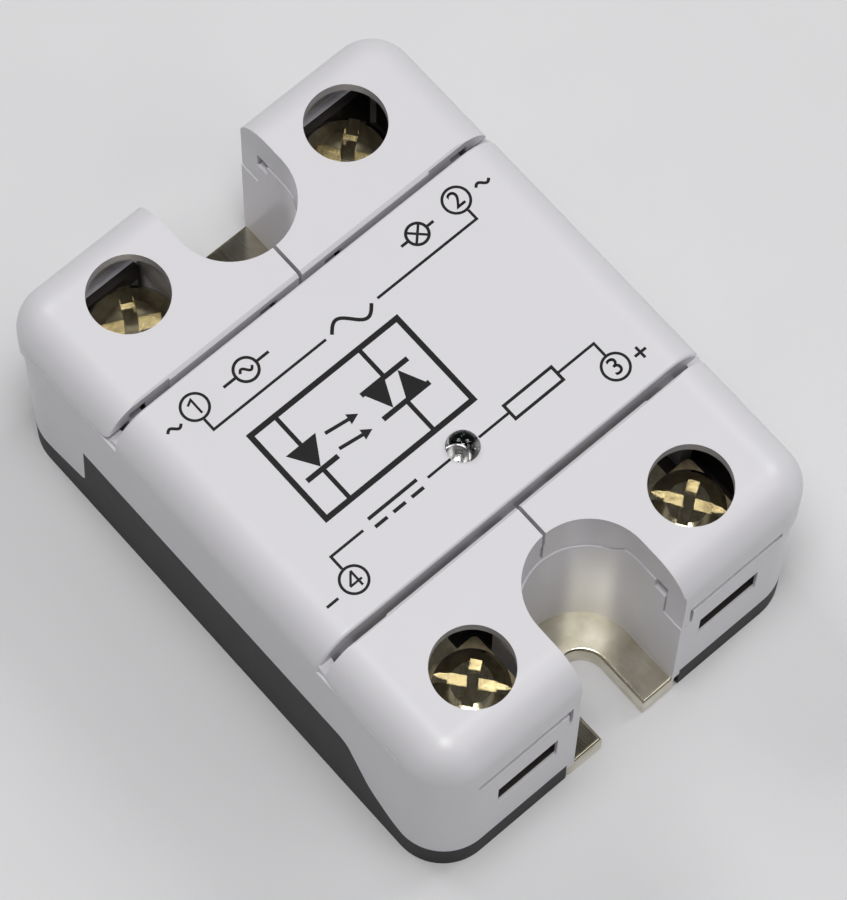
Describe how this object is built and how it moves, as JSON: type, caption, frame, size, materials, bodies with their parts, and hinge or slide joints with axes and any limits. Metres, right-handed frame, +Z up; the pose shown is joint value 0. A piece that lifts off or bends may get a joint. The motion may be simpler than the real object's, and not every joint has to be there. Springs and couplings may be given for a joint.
{
  "type": "solid state relay",
  "caption": "Panel-mount solid state relay with a metal base plate, white housing, flip covers over screw terminals and an indicator.",
  "frame": {"origin": "centre of the base plate's underside, in the mounting plane", "axes": "+X across the width towards terminals 2 and 3, +Y along the length towards the load terminals, +Z up from the mounting plane"},
  "size_m": [0.0448, 0.06, 0.0294],
  "materials": {
    "plate_nickel": "satin nickel plate",
    "dark_plastic": "matte, dark grey",
    "white_plastic": "satin white",
    "alumina": "matte",
    "board_green": "solder mask",
    "copper": "bare copper",
    "silicon": "dark, glassy",
    "resistor_body": "lacquered",
    "black_epoxy": "matte black",
    "white_epoxy": "matte white",
    "film_box": "glossy",
    "varistor_blue": "glossy",
    "led_clear": "clear epoxy",
    "tinned_wire": "tinned",
    "zinc_steel": "yellow zinc",
    "tinned_brass": "plated",
    "brass_plate": "plated",
    "screw_brass": "yellow zinc, bright"
  },
  "bodies": {
    "relay": {"base_plate": "plate_nickel", "lower_frame": "dark_plastic", "upper_housing": "white_plastic", "ceramic_substrate": "alumina", "control_board": "board_green", "gate_leads": "copper", "input_resistor": "resistor_body", "gate_resistor_left": "resistor_body", "gate_resistor_right": "resistor_body", "snubber_resistor": "resistor_body", "protection_diode": "black_epoxy", "optocoupler": "white_epoxy", "snubber_capacitor": "film_box", "varistor": "varistor_blue", "status_led": "led_clear", "led_leads": "tinned_wire", "load_nuts": "zinc_steel", "input_nuts": "zinc_steel", "load_carrier_left": "dark_plastic", "load_carrier_right": "dark_plastic", "input_carrier_left": "dark_plastic", "input_carrier_right": "dark_plastic", "copper_pad_left": "copper", "thyristor_chip_left": "silicon", "cathode_jumper_left": "copper", "load_terminal_left": "tinned_brass", "input_terminal_left": "tinned_brass", "copper_pad_right": "copper", "thyristor_chip_right": "silicon", "cathode_jumper_right": "copper", "load_terminal_right": "tinned_brass", "input_terminal_right": "tinned_brass"},
    "load_left_cover": {"load_cover_left": "white_plastic"},
    "load_left_clamp": {"load_clamp_left": "brass_plate", "load_washer_left": "zinc_steel"},
    "load_left_screw": {"load_screw_left": "screw_brass"},
    "load_right_cover": {"load_cover_right": "white_plastic"},
    "load_right_clamp": {"load_clamp_right": "brass_plate", "load_washer_right": "zinc_steel"},
    "load_right_screw": {"load_screw_right": "screw_brass"},
    "input_left_cover": {"input_cover_left": "white_plastic"},
    "input_left_clamp": {"input_clamp_left": "brass_plate", "input_washer_left": "zinc_steel"},
    "input_left_screw": {"input_screw_left": "screw_brass"},
    "input_right_cover": {"input_cover_right": "white_plastic"},
    "input_right_clamp": {"input_clamp_right": "brass_plate", "input_washer_right": "zinc_steel"},
    "input_right_screw": {"input_screw_right": "screw_brass"}
  },
  "joints": [
    {"name": "load_left_cover_hinge", "type": "hinge", "parent": "relay", "child": "load_left_cover", "pos_m": [-0.0127, 0.0162, 0.026], "axis": [1, 0, 0], "range_deg": [0, 95]},
    {"name": "load_left_clamp_lift", "type": "slide", "parent": "relay", "child": "load_left_clamp", "axis": [0, 0, 1], "range_m": [-0.0028, 0]},
    {"name": "load_left_screw_turn", "type": "hinge", "parent": "load_left_clamp", "child": "load_left_screw", "pos_m": [-0.0127, 0.023, 0.012], "axis": [0, 0, 1], "range_deg": [-1261, 0]},
    {"name": "load_right_cover_hinge", "type": "hinge", "parent": "relay", "child": "load_right_cover", "pos_m": [0.0127, 0.0162, 0.026], "axis": [1, 0, 0], "range_deg": [0, 95]},
    {"name": "load_right_clamp_lift", "type": "slide", "parent": "relay", "child": "load_right_clamp", "axis": [0, 0, 1], "range_m": [-0.0028, 0]},
    {"name": "load_right_screw_turn", "type": "hinge", "parent": "load_right_clamp", "child": "load_right_screw", "pos_m": [0.0127, 0.023, 0.012], "axis": [0, 0, 1], "range_deg": [-1261, 0]},
    {"name": "input_left_cover_hinge", "type": "hinge", "parent": "relay", "child": "input_left_cover", "pos_m": [-0.0127, -0.0162, 0.026], "axis": [-1, 0, 0], "range_deg": [0, 95]},
    {"name": "input_left_clamp_lift", "type": "slide", "parent": "relay", "child": "input_left_clamp", "axis": [0, 0, 1], "range_m": [-0.0069, 0]},
    {"name": "input_left_screw_turn", "type": "hinge", "parent": "input_left_clamp", "child": "input_left_screw", "pos_m": [-0.0127, -0.023, 0.0118], "axis": [0, 0, 1], "range_deg": [-3550, 0]},
    {"name": "input_right_cover_hinge", "type": "hinge", "parent": "relay", "child": "input_right_cover", "pos_m": [0.0127, -0.0162, 0.026], "axis": [-1, 0, 0], "range_deg": [0, 95]},
    {"name": "input_right_clamp_lift", "type": "slide", "parent": "relay", "child": "input_right_clamp", "axis": [0, 0, 1], "range_m": [-0.0069, 0]},
    {"name": "input_right_screw_turn", "type": "hinge", "parent": "input_right_clamp", "child": "input_right_screw", "pos_m": [0.0127, -0.023, 0.0118], "axis": [0, 0, 1], "range_deg": [-3550, 0]}
  ],
  "couplings": [
    {"joint": "load_left_screw_turn", "follows": "load_left_clamp_lift", "rad_per_m": 7854},
    {"joint": "load_right_screw_turn", "follows": "load_right_clamp_lift", "rad_per_m": 7854},
    {"joint": "input_left_screw_turn", "follows": "input_left_clamp_lift", "rad_per_m": 8976},
    {"joint": "input_right_screw_turn", "follows": "input_right_clamp_lift", "rad_per_m": 8976}
  ]
}
